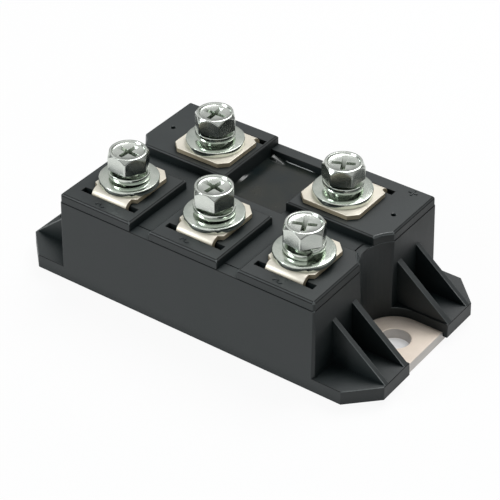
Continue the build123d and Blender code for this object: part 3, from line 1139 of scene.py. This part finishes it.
floor_material = bpy.data.materials.new("table_white")
floor_material.use_nodes = True
floor.data.materials.append(floor_material)
tree = floor_material.node_tree
tree.nodes.clear()
ray = add_node(tree, "ShaderNodeLightPath").outputs
place = add_node(tree, "ShaderNodeTexCoord").outputs["Object"]
axes = add_node(tree, "ShaderNodeSeparateXYZ")
tree.links.new(place, axes.inputs["Vector"])
along, across = axes.outputs["X"], axes.outputs["Y"]

shaded = range_from(tree, along, seen_white, shade_side, shade_starts, shade_ends)
strength = calculated(tree, "MAXIMUM", ray["Is Camera Ray"], shaded)
glow = add_node(tree, "ShaderNodeEmission")
tree.links.new(strength, glow.inputs["Strength"])

sideways = calculated(tree, "SUBTRACT", calculated(tree, "ABSOLUTE", along), hole_from_middle)
from_hole = add_node(tree, "ShaderNodeCombineXYZ")
distance = add_node(tree, "ShaderNodeVectorMath", operation="LENGTH")
tree.links.new(sideways, from_hole.inputs["X"])
tree.links.new(across, from_hole.inputs["Y"])
tree.links.new(from_hole.outputs["Vector"], distance.inputs[0])
hole_rim = (hole_radius, hole_radius + hole_blur)
in_hole = range_from(tree, distance.outputs["Value"], hole_shade, 1.0, *hole_rim)

seen = calculated(tree, "MAXIMUM", ray["Is Camera Ray"], ray["Is Glossy Ray"])
open_share = calculated(tree, "MULTIPLY", seen, in_hole)
glow_share = calculated(tree, "MULTIPLY", open_share, own_white_share)
paint = add_node(tree, "ShaderNodeBsdfDiffuse", {"Color": table_paint})
mix = add_node(tree, "ShaderNodeMixShader")
output = add_node(tree, "ShaderNodeOutputMaterial")
tree.links.new(glow_share, mix.inputs["Fac"])
tree.links.new(paint.outputs["BSDF"], mix.inputs[1])
tree.links.new(glow.outputs["Emission"], mix.inputs[2])
tree.links.new(mix.outputs["Shader"], output.inputs["Surface"])
print("floor:", 2 * floor_half, "m wide")

# %% [markdown]
# ## World
#
# The background is white to the camera and through clear material. As light the world is weaker, so
# that dark plastic keeps its depth. Bright metal needs something to reflect, and an even white room
# would make it look like chalk. So mirror reflections see a room that is dark at the horizon and
# white overhead, and that draws the dark and light bands on the heads and washers.

# %% World
world_light = 0.3
horizon_light = 0.1
zenith_light = 1.0
cool_white = (0.95, 0.98, 1.0, 1.0)
plain_white = (1.0, 1.0, 1.0, 1.0)

world = bpy.data.worlds.new("studio")
world.use_nodes = True
scene.world = world
tree = world.node_tree
tree.nodes.clear()
ray = add_node(tree, "ShaderNodeLightPath").outputs
direction = add_node(tree, "ShaderNodeTexCoord")
upward = add_node(tree, "ShaderNodeSeparateXYZ")
dim = add_node(tree, "ShaderNodeBackground", {"Color": cool_white, "Strength": world_light})
room = add_node(tree, "ShaderNodeBackground", {"Color": plain_white})
white = add_node(tree, "ShaderNodeBackground", {"Color": plain_white, "Strength": seen_white})
mirrored = add_node(tree, "ShaderNodeMixShader")
shown = add_node(tree, "ShaderNodeMixShader")
output = add_node(tree, "ShaderNodeOutputWorld")
tree.links.new(direction.outputs["Generated"], upward.inputs["Vector"])
overhead = range_from(tree, upward.outputs["Z"], horizon_light, zenith_light, 0.05, 0.95)
tree.links.new(overhead, room.inputs["Strength"])
tree.links.new(ray["Is Glossy Ray"], mirrored.inputs["Fac"])
tree.links.new(dim.outputs["Background"], mirrored.inputs[1])
tree.links.new(room.outputs["Background"], mirrored.inputs[2])
straight = calculated(tree, "MAXIMUM", ray["Is Camera Ray"], ray["Is Transmission Ray"])
tree.links.new(straight, shown.inputs["Fac"])
tree.links.new(mirrored.outputs["Shader"], shown.inputs[1])
tree.links.new(white.outputs["Background"], shown.inputs[2])
tree.links.new(shown.outputs["Shader"], output.inputs["Surface"])
print("world light:", world_light)

# %% [markdown]
# ## Lamps
#
# Two large soft lamps do the rest. One overhead and slightly behind lights the top and lays
# highlights on the rims. One at the front left lights the long wall and gives the screw heads their
# bright left flanks. The view transform is Standard, so a colour renders about as it is written.


# %% Lamps
def add_lamp(name, place, size, power, tint=(1.0, 1.0, 1.0)):
    """A square soft lamp that points at the module."""
    data = bpy.data.lights.new(name, "AREA")
    data.shape = "SQUARE"
    data.size = size
    data.energy = power
    data.color = tint
    lamp = bpy.data.objects.new(name, data)
    lamp.location = place
    lamp.rotation_mode = "QUATERNION"
    lamp.rotation_quaternion = Vector(place).to_track_quat("Z", "Y")
    lamp.visible_camera = False
    scene.collection.objects.link(lamp)


add_lamp("overhead_lamp", (0.05, 0.3, 0.6), 0.45, 3.6)
add_lamp("front_left_lamp", (-0.7, -0.9, 0.6), 0.5, 8.0, (0.93, 0.98, 1.0))

scene.view_settings.view_transform = "Standard"
print("lamps:", len(bpy.data.lights))
